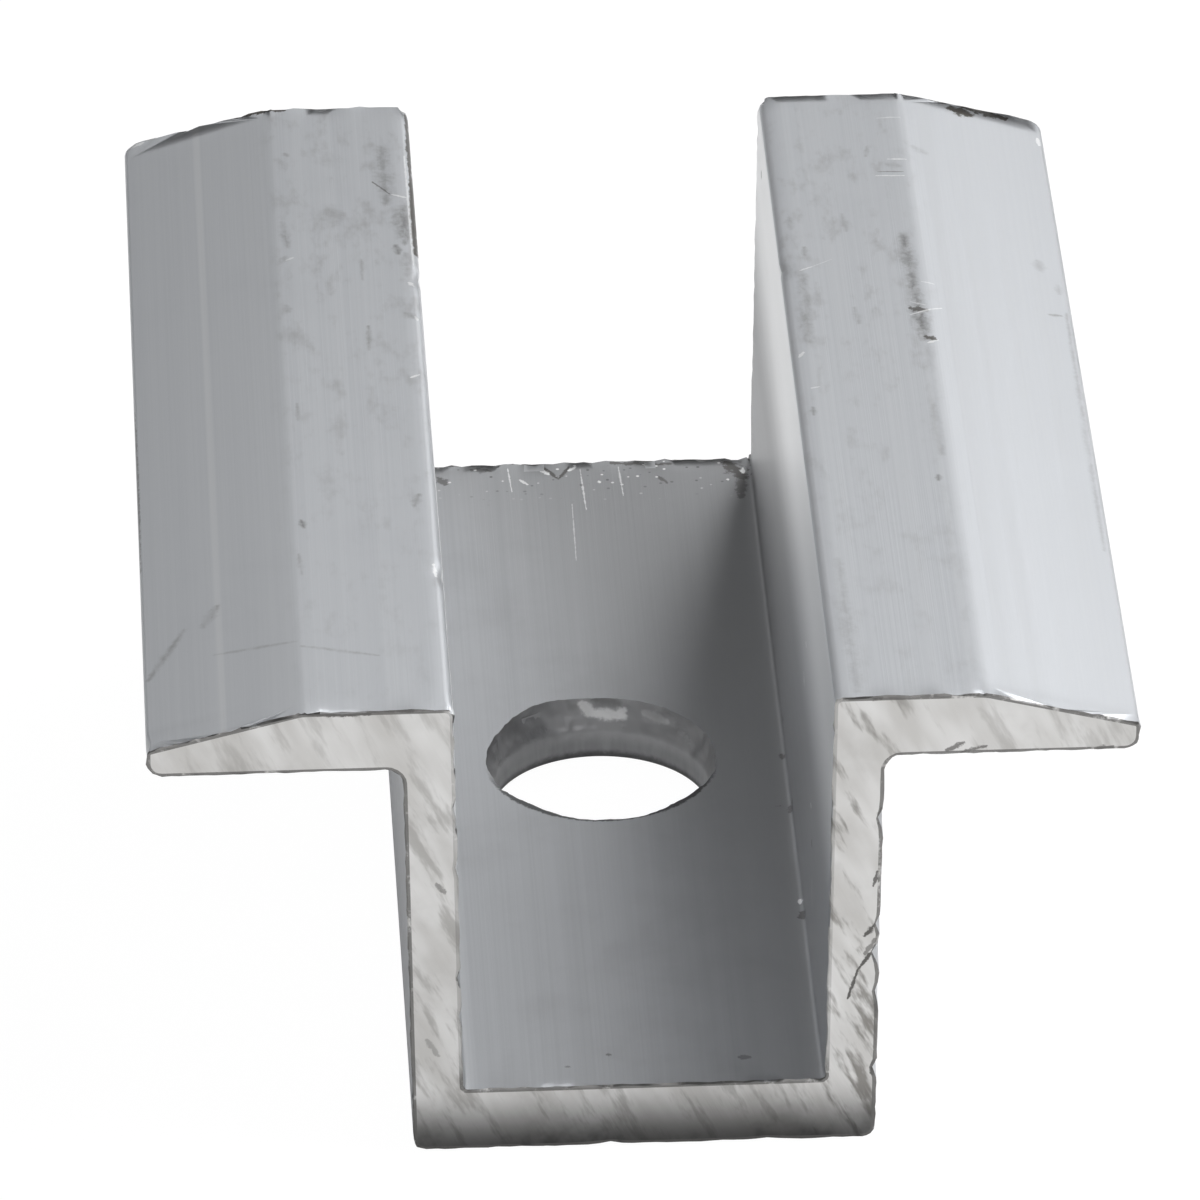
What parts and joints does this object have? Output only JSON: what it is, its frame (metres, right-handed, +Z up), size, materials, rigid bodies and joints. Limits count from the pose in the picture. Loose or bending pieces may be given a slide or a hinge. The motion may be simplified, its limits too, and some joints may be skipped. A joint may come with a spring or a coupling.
{
  "type": "solar mid clamp",
  "caption": "Mid clamp for framed solar modules: hat-section extrusion with a bolt channel, two tapered bearing flanges and a punched bolt hole.",
  "frame": {"origin": "underside of the channel floor, at the middle of the length and midway between the flange tips", "axes": "+X across the flanges, +Y along the extrusion, +Z up out of the channel mouth; the end with the sharp flange corners is at -Y"},
  "size_m": [0.04, 0.05, 0.0212],
  "materials": {
    "mill_aluminium": "satin, as extruded, with sawn ends"
  },
  "bodies": {
    "root": {"clamp_body": "mill_aluminium"}
  },
  "joints": []
}
